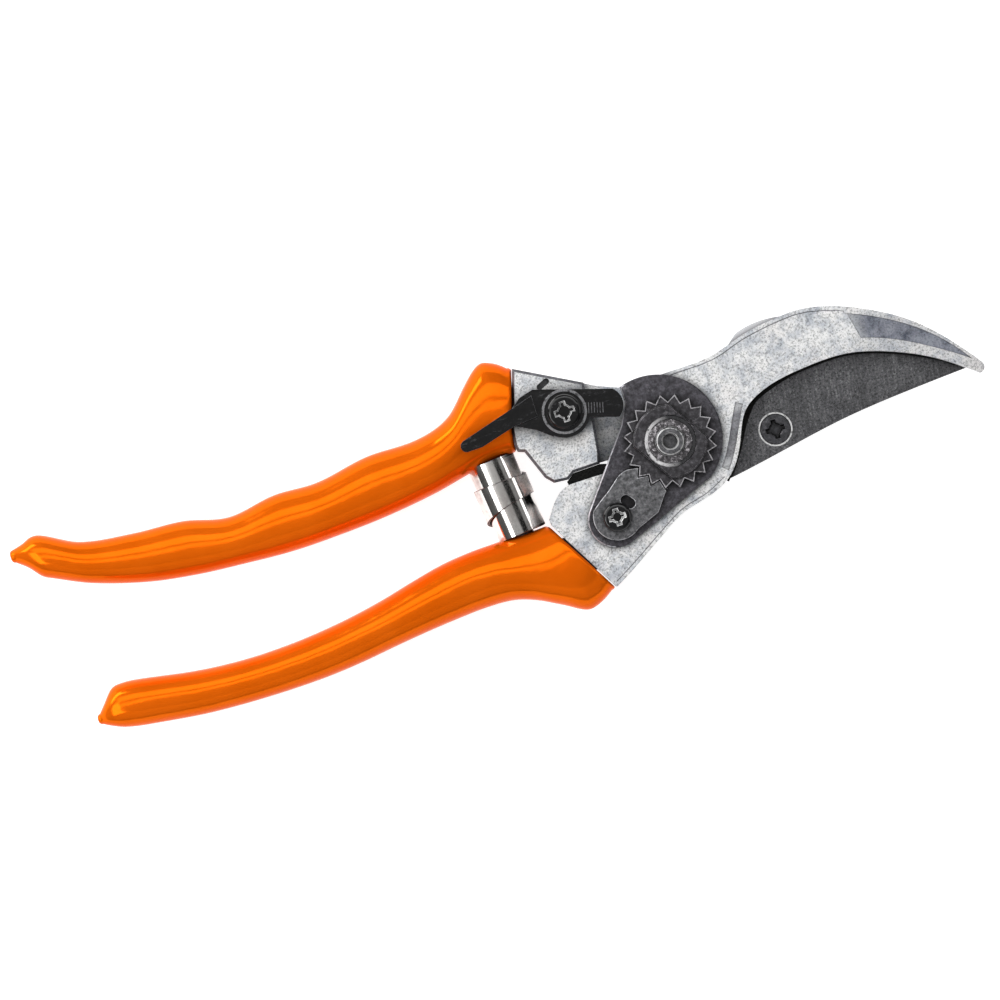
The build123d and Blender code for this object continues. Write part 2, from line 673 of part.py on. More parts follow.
# Volute spring: three telescoping tiers of strip in one ring-shaped solid.
with BuildPart() as volute_spring:
    with BuildSketch(spring_side):
        with BuildLine():
            Polyline(
                [
                    (SPRING_R - SPRING_WALL, SPRING_BOTTOM),
                    (SPRING_R, SPRING_BOTTOM),
                    (SPRING_R, MIDDLE_BOTTOM),
                    (SPRING_R + SPRING_WALL, MIDDLE_BOTTOM),
                    (SPRING_R + SPRING_WALL, MIDDLE_TOP),
                    (SPRING_R, MIDDLE_TOP),
                    (SPRING_R, SPRING_TOP),
                    (SPRING_R - SPRING_WALL, SPRING_TOP),
                ],
                close=True,
            )
        make_face()
    revolve(axis=Axis(spring_origin, spring_end.z_dir))
volute_spring.part.label = "volute_spring"
export_step(volute_spring.part, "parts/volute_spring.step")

# Pegs that hold the ends of the spring, one in each handle.
with BuildPart() as upper_spring_peg:
    with BuildSketch(spring_end.offset(PEG_TIP)):
        Circle(PEG_R)
    extrude(amount=UPPER_PEG_ROOT - PEG_TIP)
upper_spring_peg.part.label = "upper_spring_peg"
export_step(upper_spring_peg.part, "parts/upper_spring_peg.step")

with BuildPart() as lower_spring_peg:
    with BuildSketch(spring_end.offset(-LOWER_PEG_ROOT)):
        Circle(PEG_R)
    extrude(amount=LOWER_PEG_ROOT - PEG_TIP)
lower_spring_peg.part.label = "lower_spring_peg"
export_step(lower_spring_peg.part, "parts/lower_spring_peg.step")

# Rubber cushion on the neck, which the boss meets when the tool shuts.
with BuildPart() as stop_cushion:
    with BuildSketch(Plane.XY.offset(REAR_Z + CUSHION_INSET)):
        with BuildLine():
            Polyline(
                [(-22.8, -2.6), (-22.7, -1.8), (-21.8, -0.85), (-16.3, -0.55), (-16.3, -2.5)],
                close=True,
            )
        make_face()
    extrude(amount=BOSS_TOP - REAR_Z - 2 * CUSHION_INSET)
stop_cushion.part.label = "stop_cushion"
export_step(stop_cushion.part, "parts/stop_cushion.step")
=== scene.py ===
"""Looks of a bypass pruner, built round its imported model.

Metres, in the model's frame: the origin is on the pivot axis, +X runs to the tip, +Y to the handle
that carries the blade and +Z to the toothed nut. Helper tables are in millimetres, times MM."""

import math

import bmesh
import bpy
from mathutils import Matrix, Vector

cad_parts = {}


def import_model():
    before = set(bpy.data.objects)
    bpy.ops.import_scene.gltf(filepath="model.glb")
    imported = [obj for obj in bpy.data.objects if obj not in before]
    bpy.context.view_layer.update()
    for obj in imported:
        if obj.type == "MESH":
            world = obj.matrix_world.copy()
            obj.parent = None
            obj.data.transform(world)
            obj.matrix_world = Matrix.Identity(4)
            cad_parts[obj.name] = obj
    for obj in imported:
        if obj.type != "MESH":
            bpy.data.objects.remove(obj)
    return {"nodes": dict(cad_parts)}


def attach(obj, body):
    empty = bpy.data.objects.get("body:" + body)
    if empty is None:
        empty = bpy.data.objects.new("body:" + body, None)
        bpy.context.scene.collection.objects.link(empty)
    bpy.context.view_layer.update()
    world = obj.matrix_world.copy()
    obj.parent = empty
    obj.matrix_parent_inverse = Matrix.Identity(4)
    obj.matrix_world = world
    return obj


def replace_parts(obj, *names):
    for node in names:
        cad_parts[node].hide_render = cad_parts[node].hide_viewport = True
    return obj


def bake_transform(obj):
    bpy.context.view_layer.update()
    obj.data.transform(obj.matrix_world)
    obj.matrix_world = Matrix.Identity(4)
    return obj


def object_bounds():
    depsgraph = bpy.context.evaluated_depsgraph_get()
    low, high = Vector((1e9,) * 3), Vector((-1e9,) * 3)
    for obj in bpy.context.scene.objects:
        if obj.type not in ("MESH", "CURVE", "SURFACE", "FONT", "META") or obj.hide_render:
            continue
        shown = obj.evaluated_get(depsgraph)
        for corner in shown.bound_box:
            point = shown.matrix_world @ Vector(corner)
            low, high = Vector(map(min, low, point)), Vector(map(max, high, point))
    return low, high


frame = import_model()
cad_low, cad_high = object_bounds()

MM = 0.001
GRIP_MID = 9.0
scene = bpy.context.scene


# Camera: straight down on the front of the tool, turned a little about the view.
TURN = math.radians(-17.0)
LENS = 300.0
VIEW_WIDTH = 0.218
VIEW_CENTRE = Vector((-0.0391, -0.0014, 0.015))
camera_data = bpy.data.cameras.new("camera")
camera_data.lens = LENS
camera_data.sensor_width = 36.0
camera = bpy.data.objects.new("camera", camera_data)
camera.location = VIEW_CENTRE + Vector((0, 0, VIEW_WIDTH * LENS / camera_data.sensor_width))
camera.rotation_euler = (0, 0, TURN)
scene.collection.objects.link(camera)
scene.camera = camera
scene.view_settings.view_transform = "Standard"


# Node materials.

def node(tree, kind, inputs=None, **settings):
    """A new shader node; an input is a plain value or another node's socket."""
    made = tree.nodes.new("ShaderNode" + kind)
    for key, value in settings.items():
        setattr(made, key, value)
    for key, value in (inputs or {}).items():
        if isinstance(value, bpy.types.NodeSocket):
            tree.links.new(value, made.inputs[key])
        else:
            made.inputs[key].default_value = value
    return made


def ramp(tree, factor, *stops):
    """A colour or grey for each value of factor."""
    made = node(tree, "ValToRGB", {"Fac": factor})
    elements = made.color_ramp.elements
    while len(elements) < len(stops):
        elements.new(1.0)
    for element, (place, shade) in zip(elements, stops):
        element.position = place
        element.color = (*shade, 1.0) if isinstance(shade, tuple) else (shade, shade, shade, 1.0)
    return made.outputs["Color"]


def clouds(tree, scale, detail=4.0, stretch=(1.0, 1.0, 1.0), turn=0.0, rough=0.6):
    """Noise fixed to the object; scale is in cycles per metre."""
    where = node(tree, "TexCoord").outputs["Object"]
    turned = node(tree, "Mapping", {"Vector": where, "Rotation": (0, 0, math.radians(turn))})
    drawn = node(tree, "Mapping", {"Vector": turned.outputs["Vector"], "Scale": stretch})
    inputs = {"Vector": drawn.outputs["Vector"], "Scale": scale, "Detail": detail, "Roughness": rough}
    return node(tree, "TexNoise", inputs).outputs["Fac"]


def painted_crevice_shade(tree, reach, dark):
    """Painted shade: grey that falls to dark where other surfaces stand within reach, in metres."""
    near = node(tree, "AmbientOcclusion", {"Distance": reach}, samples=8)
    return ramp(tree, near.outputs["AO"], (0.3, dark), (0.85, 1.0))


def axis(tree, name):
    """One coordinate of the object, in metres."""
    where = node(tree, "TexCoord").outputs["Object"]
    return node(tree, "SeparateXYZ", {"Vector": where}).outputs[name]


def spread(tree, value, low, high):
    """0 to 1 as the value goes from low to high."""
    inputs = {"Value": value, "From Min": low, "From Max": high}
    return node(tree, "MapRange", inputs).outputs["Result"]


def mix(tree, factor, first, second, blend="MIX"):
    """Colour first, with second mixed in by factor."""
    made = node(tree, "MixRGB", {"Fac": factor, "Color1": first, "Color2": second}, blend_type=blend)
    return made.outputs["Color"]


def bump(tree, height, strength, distance):
    """A normal from a height."""
    made = node(tree, "Bump", {"Height": height, "Strength": strength, "Distance": distance})
    return made.outputs["Normal"]


def material(name, **plain):
    """A principled material and its node tree; plain are sockets with one value all over."""
    made = bpy.data.materials.new(name)
    made.use_nodes = True
    surface = made.node_tree.nodes["Principled BSDF"]
    for key, value in plain.items():
        surface.inputs[key.replace("_", " ")].default_value = value
    return made, made.node_tree, surface


def join(tree, surface, **sockets):
    """Links each socket of the surface to a node's output."""
    for key, value in sockets.items():
        tree.links.new(value, surface.inputs[key.replace("_", " ")])


def grip_material():
    """Glossy dipped vinyl, whose reflections take its colour: faint clouding and a wavy skin."""
    made, tree, surface = material(
        "dipped_vinyl", Metallic=0.34, Specular_IOR_Level=0.05, IOR=1.35, Specular_Tint=(0.95, 0.4, 0.15, 1.0)
    )
    tint = clouds(tree, 90.0, 3.0)
    colour = ramp(tree, tint, (0.3, (0.83, 0.130, 0.002)), (0.7, (0.90, 0.150, 0.004)))
    scuffs = clouds(tree, 700.0, 5.0, (0.25, 1.0, 1.0))
    roughness = ramp(tree, scuffs, (0.35, 0.1), (0.75, 0.2))
    skin = clouds(tree, 140.0, 2.0)
    join(tree, surface, Base_Color=colour, Roughness=roughness, Normal=bump(tree, skin, 0.16, 0.0006))
    return made


def forged_material(name, dark, light, speck=0.45, fades=()):
    """Cast and tumbled light alloy: bluish and pinkish blotches, fine specks, small dents and painted shade
    next to other surfaces.
    Each fade is an axis and two places, and the material's own tone sets in from the first to the second,
    over plain alloy grey."""
    made, tree, surface = material(name, Metallic=0.5)
    blotch = clouds(tree, 230.0, 6.0, rough=0.7)
    base = ramp(tree, blotch, (0.34, dark), (0.56, light))
    for name_of_axis, start, end in fades:
        here = spread(tree, axis(tree, name_of_axis), start, end)
        base = mix(tree, here, (0.76, 0.77, 0.79, 1.0), base)
    warm = clouds(tree, 120.0, 3.0)
    tinted = mix(tree, ramp(tree, warm, (0.5, 0.0), (0.75, 0.4)), base, (0.93, 0.86, 0.84, 1.0), "MULTIPLY")
    fine = clouds(tree, 2300.0, 3.0, rough=0.75)
    specks = ramp(tree, fine, (0.36, 1.0 - speck), (0.52, 1.0))
    colour = mix(tree, 1.0, tinted, specks, "MULTIPLY")
    shaded = mix(tree, 1.0, colour, painted_crevice_shade(tree, 0.0045, 0.06), "MULTIPLY")
    roughness = ramp(tree, blotch, (0.3, 0.5), (0.7, 0.3))
    normal = bump(tree, fine, 0.25, 0.0002)
    join(tree, surface, Base_Color=shaded, Roughness=roughness, Normal=normal)
    return made


def ground_material():
    """Hardened blade steel: fine specks and faint grinding lines across it, painted shade that turns it black
    beside the hook and other near surfaces, and pale along its back."""
    made, tree, surface = material("ground_steel", Metallic=0.75)
    lines = clouds(tree, 2600.0, 3.0, (1.0, 0.06, 0.2), turn=8.0)
    base = ramp(
        tree, lines, (0.3, (0.085, 0.085, 0.09)), (0.55, (0.11, 0.11, 0.115)), (0.75, (0.17, 0.17, 0.175))
    )
    fine = clouds(tree, 2600.0, 3.0, rough=0.8)
    specks = ramp(tree, fine, (0.36, 0.25), (0.48, 1.0), (0.58, 1.1), (0.68, 2.6))
    smudge = ramp(tree, clouds(tree, 90.0, 3.0), (0.35, 0.75), (0.65, 1.1))
    colour = mix(tree, 1.0, mix(tree, 1.0, base, specks, "MULTIPLY"), smudge, "MULTIPLY")
    pale = spread(tree, axis(tree, "Y"), 0.0135, 0.0150)
    colour = mix(tree, pale, colour, (0.6, 0.6, 0.62, 1.0))
    shaded = mix(tree, 1.0, colour, painted_crevice_shade(tree, 0.0016, 0.02), "MULTIPLY")
    roughness = ramp(tree, lines, (0.3, 0.5), (0.7, 0.36))
    join(tree, surface, Base_Color=shaded, Roughness=roughness, Normal=bump(tree, lines, 0.2, 0.0001))
    return made


def dark_material(name, shade, lift=1.8, metal=0.6, rough=(0.28, 0.5), grain=1100.0, reach=0.0014):
    """Blackened or phosphated steel: a fine mottle, lighter rubbed spots, and painted shade that turns
    corners black.
    """
    made, tree, surface = material(name, Metallic=metal)
    mottle = clouds(tree, grain, 5.0, rough=0.7)
    dim = tuple(0.4 * s for s in shade)
    bright = tuple(min(1.0, lift * s) for s in shade)
    base = ramp(tree, mottle, (0.34, dim), (0.5, shade), (0.66, bright))
    rubbed = clouds(tree, 420.0, 5.0, rough=0.7)
    colour = mix(tree, ramp(tree, rubbed, (0.6, 0.0), (0.72, 0.45)), base, (0.34, 0.33, 0.35, 1.0))
    shaded = mix(tree, 1.0, colour, painted_crevice_shade(tree, reach, 0.02), "MULTIPLY")
    roughness = ramp(tree, mottle, (0.3, rough[1]), (0.7, rough[0]))
    join(tree, surface, Base_Color=shaded, Roughness=roughness, Normal=bump(tree, mottle, 0.35, 0.00014))
    return made


def wear_and_highlight_material(name, shade, rough=0.3, metal=0.5, highlight_from=None):
    """A rubbed edge: brighter bare metal, broken by darker nicks. It is all bright, or bright only where X
    has come down from the first to the second given place and nearly black elsewhere: a painted highlight on
    one side."""
    made, tree, surface = material(name, Metallic=metal)
    nicks = clouds(tree, 1100.0, 4.0, rough=0.7)
    colour = ramp(tree, nicks, (0.36, tuple(0.15 * s for s in shade)), (0.5, shade))
    if highlight_from:
        here = spread(tree, axis(tree, "X"), *highlight_from)
        colour = mix(tree, here, (0.03, 0.03, 0.032, 1.0), colour)
    roughness = ramp(tree, nicks, (0.3, rough + 0.2), (0.6, rough))
    join(tree, surface, Base_Color=colour, Roughness=roughness)
    return made


def chrome_material():
    """Polished spring strip with faint drawing marks round each coil."""
    made, tree, surface = material("polished_strip", Metallic=1.0)
    marks = clouds(tree, 300.0, 3.0)
    colour = ramp(tree, marks, (0.35, (0.55, 0.52, 0.5)), (0.6, (0.86, 0.84, 0.81)))
    roughness = ramp(tree, marks, (0.35, 0.12), (0.7, 0.05))
    join(tree, surface, Base_Color=colour, Roughness=roughness)
    return made


def gloss_black_material(name):
    """Black lacquer with faint orange peel, a few light specks, small scuffs and painted shade in its
    corners.
    """
    made, tree, surface = material(name, Specular_IOR_Level=0.5)
    scuffs = clouds(tree, 1500.0, 4.0, (0.3, 1.0, 1.0), rough=0.75)
    tone = (0.003, 0.003, 0.0033)
    colour = ramp(tree, scuffs, (0.58, tone), (0.72, tuple(14 * s for s in tone)))
    shaded = mix(tree, 1.0, colour, painted_crevice_shade(tree, 0.0012, 0.1), "MULTIPLY")
    roughness = ramp(tree, scuffs, (0.4, 0.04), (0.75, 0.12))
    skin = clouds(tree, 420.0, 3.0)
    join(tree, surface, Base_Color=shaded, Roughness=roughness, Normal=bump(tree, skin, 0.07, 0.0003))
    return made


def matt_black_material(name):
    """Matt black with a fine grain."""
    made, tree, surface = material(name, Specular_IOR_Level=0.1)
    grain = clouds(tree, 2500.0, 3.0)
    colour = ramp(tree, grain, (0.3, (0.002, 0.002, 0.002)), (0.7, (0.012, 0.012, 0.011)))
    roughness = ramp(tree, grain, (0.3, 0.85), (0.7, 0.65))
    join(tree, surface, Base_Color=colour, Roughness=roughness, Normal=bump(tree, grain, 0.4, 0.0002))
    return made


ALLOY = forged_material("forged_alloy", (0.48, 0.51, 0.56), (0.88, 0.88, 0.88), speck=0.6)
# The rounded edges of the frames get a darker copy of the alloy: painted shade.
ALLOY_EDGE_SHADED = forged_material("forged_alloy_edge_shaded", (0.38, 0.38, 0.4), (0.72, 0.72, 0.72), speck=0.4)
# The facet sunk in the hook's tip is painted dark and bluish: painted shade where it tilts away from the
# light.
ALLOY_FACET_SHADE = forged_material(
    "forged_alloy_facet_shade", (0.07, 0.08, 0.11), (0.34, 0.36, 0.42), fades=[("X", 0.0435, 0.0485)]
)
# The groove beside the neck is painted darker: painted shade in the groove.
ALLOY_GROOVE_SHADE = forged_material(
    "forged_alloy_groove_shade", (0.10, 0.10, 0.12), (0.30, 0.30, 0.32),
    fades=[("Y", 0.0038, 0.0015), ("Y", -0.0092, -0.006)],
)
# A dark copy of the alloy, for painted shade on the boss's bevel, in its dimple and along the hook's back and
# neck.
ALLOY_PAINTED_SHADE = forged_material("forged_alloy_painted_shade", (0.06, 0.06, 0.07), (0.22, 0.22, 0.24))
BLADE = ground_material()
PLATE = dark_material("blackened_plate", (0.06, 0.057, 0.066), lift=1.8, reach=0.0026)
# Bright bevel on the plate's left side: a painted highlight with darker nicks.
PLATE_LIT_EDGE = wear_and_highlight_material("plate_lit_edge", (0.5, 0.5, 0.53))
NUT = dark_material("nut_steel_look", (0.04, 0.038, 0.042), lift=2.2, reach=0.0022)
NUT_EDGE = wear_and_highlight_material("nut_edge", (0.42, 0.41, 0.43))
DISH = dark_material("nut_dish", (0.10, 0.095, 0.1), lift=6.0, metal=0.9, rough=(0.15, 0.4), grain=1300.0)
SEGMENT = dark_material("segment_look", (0.11, 0.11, 0.115), lift=2.0)
SEGMENT_EDGE = wear_and_highlight_material("segment_edge", (0.45, 0.45, 0.47), metal=0.7)
STEEL = dark_material("dark_steel_look", (0.09, 0.09, 0.095))
SUNK = dark_material("sunk_screw", (0.05, 0.05, 0.055), reach=0.003)
STEEL_EDGE = wear_and_highlight_material("dark_steel_edge", (0.5, 0.5, 0.5))
BRIGHT = wear_and_highlight_material("turned_steel", (0.8, 0.8, 0.8), 0.2)
SCREW = gloss_black_material("blackened_screw")
CATCH_RING = wear_and_highlight_material("catch_ring", (0.22, 0.22, 0.23), 0.25)
# The dish rim is bright only on its side towards -X: a painted highlight.
DISH_RIM_LIT = wear_and_highlight_material("dish_rim_painted_highlight", (0.7, 0.69, 0.7), 0.2, highlight_from=(0.001, -0.0035))
SCREW_EDGE = wear_and_highlight_material("screw_edge", (0.95, 0.95, 0.95), 0.15)
CATCH = gloss_black_material("catch_lacquer")
CATCH_EDGE = wear_and_highlight_material("catch_lacquer_edge", (0.16, 0.16, 0.17), 0.25)
GRIP = grip_material()
CHROME = chrome_material()
RUBBER = matt_black_material("cushion_rubber_look")
# Matt black for the hook's painted shadow on the blade.
HOOK_SHADOW_LOOK = matt_black_material("painted_hook_shadow")


# Pieces.

def piece_from(name, points, faces, materials, smooth_angle=40.0):
    """A shaded mesh object from its points, in metres, and its faces."""
    mesh = bpy.data.meshes.new(name)
    mesh.from_pydata(points, [], faces)
    for each in materials:
        mesh.materials.append(each)
    mesh.shade_smooth()
    mesh.set_sharp_from_angle(angle=math.radians(smooth_angle))
    piece = bpy.data.objects.new(name, mesh)
    scene.collection.objects.link(piece)
    return piece


def bridge(rings, size, around=False):
    """Faces between neighbouring rings of size points; around joins the last ring to the first."""
    faces = []
    for k in range(rings if around else rings - 1):
        here, there = k * size, (k + 1) % rings * size
        for i in range(size):
            j = (i + 1) % size
            faces.append((here + i, here + j, there + j, there + i))
    return faces


def along(table, x):
    """The table's row at x, on a smooth curve through its rows."""
    last = len(table) - 1
    i = min(max(sum(row[0] <= x for row in table) - 1, 0), last - 1)
    before, here, there, after = (table[min(max(j, 0), last)] for j in (i - 1, i, i + 1, i + 2))
    span = there[0] - here[0]
    t = (x - here[0]) / span
    row = []
    for a, b, c, d in zip(before[1:], here[1:], there[1:], after[1:]):
        start = (c - a) / (there[0] - before[0]) * span
        end = (d - b) / (after[0] - here[0]) * span
        row.append(
            (2 * t**3 - 3 * t**2 + 1) * b + (t**3 - 2 * t**2 + t) * start
            + (3 * t**2 - 2 * t**3) * c + (t**3 - t**2) * end
        )
    return row


def rounded(node_name, body, width, materials, angle=32.0, sort=None, clamp=True, edges=1):
    """A copy of a CAD node with its sharp edges rounded by width; it stands for the node.
    The first material is its faces', and edges is the rounding's; sort picks others for a face."""
    source = frame["nodes"][node_name].data
    work = bmesh.new()
    work.from_mesh(source)
    bmesh.ops.remove_doubles(work, verts=work.verts, dist=2e-6)
    bmesh.ops.dissolve_limit(
        work, angle_limit=math.radians(0.3), verts=work.verts, edges=work.edges, delimit={"NORMAL"}
    )
    work.verts.ensure_lookup_table()
    points = [v.co.copy() for v in work.verts]
    faces = [[v.index for v in f.verts] for f in work.faces]
    work.free()
    piece = piece_from(node_name + "_finished", points, faces, materials)
    if sort:
        for face in piece.data.polygons:
            face.material_index = sort(face.center / MM, face.normal)
    edge = piece.modifiers.new("edges", "BEVEL")
    edge.width = width * MM
    edge.segments = 3
    edge.limit_method = "ANGLE"
    edge.angle_limit = math.radians(angle)
    edge.use_clamp_overlap = clamp
    edge.material = min(edges, len(materials) - 1)
    even = piece.modifiers.new("shading", "WEIGHTED_NORMAL")
    even.keep_sharp = True
    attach(piece, body)
    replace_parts(piece, node_name)


# The plane that the hook's front falls to at its tip.
TIP_POINT = Vector((45.0, 12.0, 16.7))
TIP_NORMAL = Vector((0.0707, -0.0376, 0.9968)).normalized()


def hook_face(centre, normal):
    """The facet sunk in the tip and the groove beside the neck take dark copies of the alloy: painted shade.
    """
    depth = (TIP_POINT - centre).dot(TIP_NORMAL)
    if centre.x > 40 and normal.z > 0.9 and 0.1 < depth < 0.6:
        return 2
    if normal.z > 0.99 and 16.2 < centre.z < 16.5 and 5 < centre.x < 20:
        return 3
    return 0


rounded(
    "hook_frame", "hook_handle", 0.7,
    [ALLOY, ALLOY_EDGE_SHADED, ALLOY_FACET_SHADE, ALLOY_GROOVE_SHADE], sort=hook_face,
)


def boss_face(centre, normal):
    """The bevel round the boss and the inside of its dimple are painted darker: painted shade."""
    in_dimple = abs(centre.x + 22.8) < 2.2 and abs(centre.y - 20.0) < 1.6 and 15.5 < centre.z < 16.5
    if in_dimple or (centre.z > 15.9 and 0.2 < normal.z < 0.95):
        return 2
    return 0


rounded(
    "blade_frame", "blade_handle", 0.2, [ALLOY, ALLOY_EDGE_SHADED, ALLOY_PAINTED_SHADE],
    angle=25.0, sort=boss_face,
)


def blade_face(centre, normal):
    """The floor of the sap groove is painted black: painted shade in the groove."""
    return 2 if normal.z > 0.9 and centre.z < 10.0 and centre.x > 5 else 0


rounded("blade", "blade_handle", 0.12, [BLADE, STEEL_EDGE, SCREW], sort=blade_face)


def plate_face(centre, normal):
    """The plate's bevel is bright where it faces left: a painted highlight, broken by darker nicks."""
    return 1 if 0.2 < normal.z < 0.95 and normal.x < -0.2 else 0


rounded("pivot_plate", "hook_handle", 0.06, [PLATE, PLATE_LIT_EDGE], sort=plate_face, edges=0)


def nut_face(centre, normal):
    """The floor of the dish round the bolt is crusted and shiny."""
    return 2 if normal.z > 0.9 and 20.9 < centre.z < 21.4 else 0


rounded("toothed_nut", "hook_handle", 0.26, [NUT, NUT_EDGE, DISH], sort=nut_face)
rounded("locking_segment", "hook_handle", 0.15, [SEGMENT, SEGMENT_EDGE], 50.0, clamp=False)
rounded("catch_lever", "thumb_catch", 0.45, [CATCH, CATCH_EDGE])
for screw, body in (("catch_screw", "blade_handle"), ("segment_screw", "hook_handle")):
    rounded(screw, body, 0.12, [SCREW, SCREW_EDGE])
rounded("blade_screw", "blade_handle", 0.12, [SUNK])
rounded("pivot_bolt", "hook_handle", 0.15, [STEEL, STEEL_EDGE])


def slab(name, body, outline, low, high, look, soft):
    """A flat piece between two heights, from its outline in mm, with its edges rounded by soft."""
    points = [Vector((x, y, z)) * MM for z in (low, high) for x, y in outline]
    count = len(outline)
    faces = [tuple(reversed(range(count))), tuple(range(count, 2 * count)), *bridge(2, count)]
    piece = piece_from(name, points, faces, [look])
    edge = piece.modifiers.new("edges", "BEVEL")
    edge.width = soft * MM
    edge.segments = 3
    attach(piece, body)
    return piece


# The cushion is squeezed to fill the gap between the boss and the neck.
CUSHION_LOW = 4.2
CUSHION_HIGH = 15.6
CUSHION_SOFT = 0.15
CUSHION = [
    (-23.7, -3.0),
    (-23.9, -1.9),
    (-23.4, -1.55),
    (-22.0, -0.45),
    (-16.0, -0.25),
    (-14.6, -0.6),
    (-14.4, -2.6),
]
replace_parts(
    slab(
        "cushion", "hook_handle", CUSHION, CUSHION_LOW, CUSHION_HIGH, RUBBER, CUSHION_SOFT
    ),
    "stop_cushion",
)


# Turned rings.
RING_STEPS = 64


def lathe(name, body, centre, profile, look):
    """A ring turned about a vertical axis at centre; the closed profile is (radius, z) in mm."""
    points = []
    for k in range(RING_STEPS):
        turn = 2 * math.pi * k / RING_STEPS
        for r, z in profile:
            points.append(Vector((centre[0] + r * math.cos(turn), centre[1] + r * math.sin(turn), z)) * MM)
    faces = bridge(RING_STEPS, len(profile), around=True)
    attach(piece_from(name, points, faces, [look], 30.0), body)


def raised(inner, outer, base, height):
    """Profile of a low ring with its two upper edges broken."""
    soft = min(height, outer - inner) / 3
    return [
        (outer, base), (outer, base + height - soft), (outer - soft, base + height),
        (inner + soft, base + height), (inner, base + height - soft), (inner, base),
    ]


# Fronts of the pieces, as heights in mm.
BLADE_FRONT = 10.6
HOOK_FRONT = 16.7
LEVER_FRONT = 20.3
FLANGE_FRONT = 20.3
DISH_FLOOR = 21.1

# How far the films and the painted shade lines stand out.
FILM_T = 0.04
LINE_T = 0.02

CATCH_AXIS = (-20.1, 12.9)
BLADE_SCREW = (23.0, -4.2)

collar = raised(4.35, 4.95, LEVER_FRONT, 0.2)
screw_rim = raised(3.4, 3.75, BLADE_FRONT, 0.05)
lathe("catch_collar", "thumb_catch", CATCH_AXIS, collar, CATCH_RING)
lathe("blade_screw_rim", "blade_handle", BLADE_SCREW, screw_rim, BRIGHT)
# The rim round the dish carries a painted highlight on one side.
lathe("dish_rim", "hook_handle", (0, 0), raised(4.8, 5.65, DISH_FLOOR, 0.3), DISH_RIM_LIT)

# Bright line round the teeth of the nut: a painted highlight along their edge. Its two sides have a radius at
# the tips and one at the roots.
TEETH = 20
TOOTH_PHASE = math.radians(13.5)
TOOTH_OUTER = (10.23, 8.57)
TOOTH_INNER = (9.85, 8.35)
TOOTH_SOFT = 0.02


def tooth_line():
    """A zigzag band on the front of the nut's flange, along its edge."""
    points = []
    for k in range(2 * TEETH):
        turn = TOOTH_PHASE + math.pi * k / TEETH
        way = Vector((math.cos(turn), math.sin(turn), 0))
        outer, inner = TOOTH_OUTER[k % 2], TOOTH_INNER[k % 2]
        for r, lift in ((outer, 0.0), (outer - TOOTH_SOFT, FILM_T), (inner, FILM_T), (inner, 0.0)):
            points.append((way * r + Vector((0, 0, FLANGE_FRONT + lift))) * MM)
    faces = bridge(2 * TEETH, 4, around=True)
    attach(piece_from("tooth_line", points, faces, [NUT_EDGE], 10.0), "hook_handle")


tooth_line()

# Ribs across the catch's arm, where a thumb would slip.
RIB_MIDDLE = (-13.9, 11.9)
RIB_LEAN = math.radians(-15.0)
RIBS = 8
RIB_PITCH = 0.62
RIB_SIZE = (0.26, 2.3, 0.16)


def ribs():
    """Low ridges side by side on the front of the arm, as one piece."""
    along_arm = Vector((math.cos(RIB_LEAN), math.sin(RIB_LEAN), 0))
    over_arm = Vector((-math.sin(RIB_LEAN), math.cos(RIB_LEAN), 0))
    width, length, height = RIB_SIZE
    points, faces = [], []
    for k in range(RIBS):
        middle = Vector((*RIB_MIDDLE, LEVER_FRONT)) + along_arm * RIB_PITCH * (k - (RIBS - 1) / 2)
        first = len(points)
        for lift, half in ((0.0, width / 2), (height, width / 6)):
            for a, b in ((-half, -length / 2), (half, -length / 2), (half, length / 2), (-half, length / 2)):
                points.append((middle + along_arm * a + over_arm * b + Vector((0, 0, lift))) * MM)
        for i in range(4):
            j = (i + 1) % 4
            faces.append((first + i, first + j, first + 4 + j, first + 4 + i))
        faces.append(tuple(range(first + 4, first + 8)))
        faces.append(tuple(reversed(range(first, first + 4))))
    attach(piece_from("catch_ribs", points, faces, [CATCH_EDGE], 20.0), "thumb_catch")


ribs()

# Thin films that follow an edge: a black one for the hook's painted shadow on the blade, and dark lines for
# painted shade. Each row is x, y and the width there, to the right of the way.
HOOK_SHADOW = [
    (9.6, -11.9, 0.45),
    (13.3, -7.0, 0.65),
    (14.9, -4.0, 0.8),
    (16.3, -0.8, 1.15),
    (17.8, 1.7, 1.4),
    (19.7, 3.5, 1.2),
    (22.3, 4.6, 0.95),
    (27.0, 5.9, 0.7),
    (32.5, 6.8, 0.55),
    (42.7, 7.05, 0.45),
    (52.3, 4.5, 0.4),
    (60.8, 0.5, 0.3),
    (64.6, -2.1, 0.2),
]
BACK_LINE = [
    (-4.1, 13.3, 0.18),
    (5.0, 13.9, 0.18),
    (14.0, 14.4, 0.2),
    (22.0, 16.8, 0.22),
    (30.0, 18.2, 0.22),
    (36.0, 18.4, 0.2),
    (42.0, 17.1, 0.18),
    (44.6, 16.1, 0.15),
]
NECK_LINE = [
    (9.2, -10.9, 0.15),
    (4.5, -13.2, 0.18),
    (-1.5, -14.9, 0.18),
    (-7.0, -18.0, 0.18),
    (-14.0, -22.4, 0.18),
    (-19.8, -25.8, 0.15),
]
FILM_STEPS = 6
HOOK_SHADOW_TUCK = 0.5


